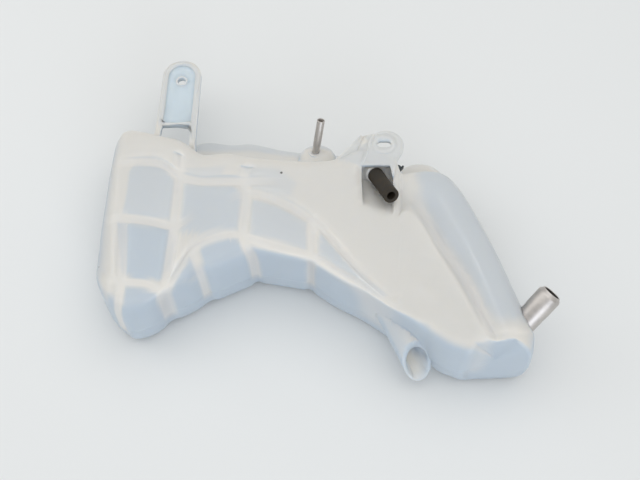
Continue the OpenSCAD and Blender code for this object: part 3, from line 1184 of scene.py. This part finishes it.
FEED_AXIS = Axis((153.3, -74.9, 45.0), (0.613, 0.536, 0.581))
VENT_AXIS = Axis((-3.0, 76.0, 52.0), (0.137, 0.345, 0.93))
BLEED_AXIS = Axis((43.4, 49.9, 56.0), (0.28, -0.815, 0.505))
TUBES = (
    Tube("feed_tube", "feed_pipe", FEED_AXIS, 19.0, -10.0, 11.0, 31.0, nosed=True, steps=72),
    Tube("vent_tube", "vent_pipe", VENT_AXIS, 6.35, -12.0, 1.0, 28.0),
    Tube("bleed_tube", "bleed_pipe", BLEED_AXIS, 6.35, -9.0, 3.3, 24.0),
)


@dataclass
class MetalPipes:
    """The three drawn tubes that are pressed into the moulding."""

    finish: DrawnAluminium = field(default_factory=DrawnAluminium)
    wall_mm: float = 1.0
    lip_mm: float = 0.3
    # The thinner neck widens over a short run, so that no ring shows
    neck_cut_mm: float = 0.3
    neck_run_mm: float = 3.0
    # The large pipe is drawn in over its last stretch, bent at these shares of it
    nose_mm: float = 3.5
    nose_cut_mm: float = 2.0
    nose_shares: tuple[float, ...] = (0.0, 0.2, 0.45, 0.75)
    smooth_degrees: float = 40.0

    def build(self) -> None:
        """Turns and dresses the pipes."""
        material = self.finish.material()
        for tube in TUBES:
            piece = turned(tube.name, tube.axis, self._profile(tube), tube.steps)
            smooth(piece, self.smooth_degrees)
            seat(piece, material, Slot.PIPE, tube.node)
            log.info("%s: %d faces", piece.name, len(piece.data.polygons))

    def _profile(self, tube: Tube) -> list[tuple[float, float]]:
        """Draws the profile of one tube with rounded rims.

        Args:
            tube: The tube.

        Returns:
            Corners as distance along and out from the axis, in millimetres.
        """
        end, out, lip = tube.end, tube.diameter / 2, self.lip_mm
        inner, corner = out - self.wall_mm, lip * RIM_CORNER
        cut = self.nose_cut_mm if tube.nosed else 0.0
        profile = [
            (tube.start, inner),
            (tube.start, out - self.neck_cut_mm),
            (tube.neck, out - self.neck_cut_mm),
            (tube.neck + self.neck_run_mm, out),
        ]
        if tube.nosed:
            profile += [
                (end - self.nose_mm * (1 - share), out - cut * eased(share))
                for share in self.nose_shares
            ]
        profile += [
            (end - lip, out - cut),
            (end - corner, out - cut - corner),
            (end, out - cut - lip),
            (end, inner - cut + lip),
            (end - corner, inner - cut + corner),
            (end - lip, inner - cut),
        ]
        if tube.nosed:
            profile.append((end - self.nose_mm, inner))
        return profile


@dataclass
class RubberStub:
    """The short hose that is pushed on the bleed pipe, up to the moulded collar."""

    finish: ExtrudedRubber = field(default_factory=ExtrudedRubber)
    diameter_mm: float = 12.5
    bore_mm: float = 6.55
    start_mm: float = 3.3
    length_mm: float = 37.0
    rim_mm: float = 0.35
    # It narrows between the first two distances from its foot, and stays so up to the third
    # from its mouth
    waist_cut_mm: float = 0.12
    waist_marks_mm: Point = (8.0, 18.0, 6.0)
    # Its mouth is a little wider again, with its own share at the rim's corner
    mouth_cut_mm: float = 0.05
    mouth_corner: float = 0.35
    steps: int = 64
    smooth_degrees: float = 35.0

    def build(self) -> None:
        """Turns and dresses the stub."""
        piece = turned("rubber_stub", BLEED_AXIS, self._profile(), self.steps)
        smooth(piece, self.smooth_degrees)
        seat(piece, self.finish.material(), Slot.HOSE, "hose_stub")
        log.info("rubber stub: %d faces", len(piece.data.polygons))

    def _profile(self) -> list[tuple[float, float]]:
        """Draws the stub's profile with rounded rims.

        Returns:
            Corners as distance along and out from the axis, in millimetres.
        """
        start, end = self.start_mm, self.start_mm + self.length_mm
        out, inner, rim = self.diameter_mm / 2, self.bore_mm / 2, self.rim_mm
        corner, waist = rim * RIM_CORNER, out - self.waist_cut_mm
        narrowing, narrow, widening = self.waist_marks_mm
        return [
            (start, inner),
            (start, out - rim),
            (start + corner, out - corner),
            (start + rim, out),
            (start + narrowing, out),
            (start + narrow, waist),
            (end - widening, waist),
            (end - rim, out - self.mouth_cut_mm),
            (end - corner, out - rim * self.mouth_corner),
            (end, out - rim),
            (end, inner + rim),
            (end - corner, inner + corner),
            (end - rim, inner),
        ]


@dataclass
class ForkedClip:
    """The black clip that stands on the ledge beside the bracket."""

    finish: MouldedNylon = field(default_factory=MouldedNylon)
    node: str = "hose_clip"
    # Triangles flatter than this are joined before the edges are rounded
    flat_degrees: float = 1.0
    edge_degrees: float = 40.0
    edge_round_mm: float = 0.35
    edge_segments: int = 2
    smooth_degrees: float = 45.0

    def build(self) -> None:
        """Rounds the edges of a copy of the solid and dresses it."""
        piece = copy_of(self.node, "forked_clip")
        with edit_mode(piece):
            bpy.ops.mesh.select_all(action="SELECT")
            bpy.ops.mesh.dissolve_limited(angle_limit=math.radians(self.flat_degrees))
        apply_modifier(
            piece,
            "BEVEL",
            width=self.edge_round_mm * MM,
            segments=self.edge_segments,
            limit_method="ANGLE",
            angle_limit=math.radians(self.edge_degrees),
        )
        smooth(piece, self.smooth_degrees)
        seat(piece, self.finish.material(), Slot.CLIP, self.node)
        log.info("forked clip: %d faces", len(piece.data.polygons))


@dataclass(frozen=True)
class Softbox:
    """A soft square lamp: its place and side in metres, its power in watts and its tone."""

    name: str
    place: Point
    size: float
    power: float
    tone: str


@dataclass
class Studio:
    """Floor, soft lamps and the camera at the photograph's angle, in metres."""

    floor_size: float = 6.0
    floor_drop: float = 0.3 * MM
    lens_mm: float = 50.0
    sensor_mm: float = 36.0
    camera_place: Point = (0.0, -0.3228, 0.6685)
    target: Point = (0.0, 0.0, 0.035)
    lamps: tuple[Softbox, ...] = (
        Softbox("overhead_softbox", (0.12, 0.22, 1.35), 1.8, 8.0, "#FFFFFF"),
        Softbox("side_softbox", (-1.1, 0.3, 0.8), 0.9, 2.5, "#FFFFFF"),
        Softbox("front_softbox", (0.45, -2.0, 0.7), 1.2, 13.0, "#E2EAF6"),
    )
    room_tone: str = "#EDEDEC"
    room_strength: float = 0.74
    finish: PaleFloor = field(default_factory=PaleFloor)

    def build(self) -> None:
        """Sets up the stage, the lamps, the world and the camera."""
        self._floor()
        for softbox in self.lamps:
            self._lamp(softbox)
        self._world()
        self._camera()
        bpy.context.scene.view_settings.view_transform = "Standard"
        log.info("studio: floor, %d softboxes, world and camera", len(self.lamps))

    def _floor(self) -> None:
        """Adds the pale floor under the tank."""
        deselect_all()
        low, _ = CAD_BOX
        place = (0.0, 0.0, low.z - self.floor_drop)
        bpy.ops.mesh.primitive_plane_add(size=self.floor_size, location=place)
        floor = bpy.context.object
        floor.name = "floor"
        floor.data.materials.append(self.finish.material())

    def _aim(self, piece: bpy.types.Object, place: Point) -> None:
        """Puts a lamp or the camera in its place and turns it to the tank.

        Args:
            piece: The new lamp or camera.
            place: Where it stands, in metres.
        """
        bpy.context.scene.collection.objects.link(piece)
        piece.location = place
        way = Vector(self.target) - Vector(place)
        piece.rotation_mode = "QUATERNION"
        piece.rotation_quaternion = way.to_track_quat("-Z", "Y")

    def _lamp(self, softbox: Softbox) -> None:
        """Adds a lamp.

        Args:
            softbox: The lamp.
        """
        data = bpy.data.lights.new(softbox.name, "AREA")
        data.shape, data.size, data.energy = "SQUARE", softbox.size, softbox.power
        data.color = linear(softbox.tone)[:3]
        self._aim(bpy.data.objects.new(softbox.name, data), softbox.place)

    def _world(self) -> None:
        """Fills the room with plain light and shows a pale background."""
        world = bpy.data.worlds.new("studio_room")
        bpy.context.scene.world = world
        world.use_nodes = True
        tree = world.node_tree
        tree.nodes.clear()
        settings = {"Color": linear(self.room_tone), "Strength": self.room_strength}
        fill = add_node(tree, "Background", settings).outputs[0]
        add_node(tree, "OutputWorld", None, {"Surface": fill})

    def _camera(self) -> None:
        """Adds the camera at the photograph's angle and makes it the scene's."""
        data = bpy.data.cameras.new("camera")
        data.lens, data.sensor_width = self.lens_mm, self.sensor_mm
        camera = bpy.data.objects.new("camera", data)
        self._aim(camera, self.camera_place)
        bpy.context.scene.camera = camera


def main() -> None:
    """Builds every sub-assembly in order."""
    logging.basicConfig(level=logging.INFO, format="%(name)s: %(message)s")
    Studio().build()
    TankMoulding().build()
    MetalPipes().build()
    RubberStub().build()
    ForkedClip().build()


if __name__ == "__main__":
    main()
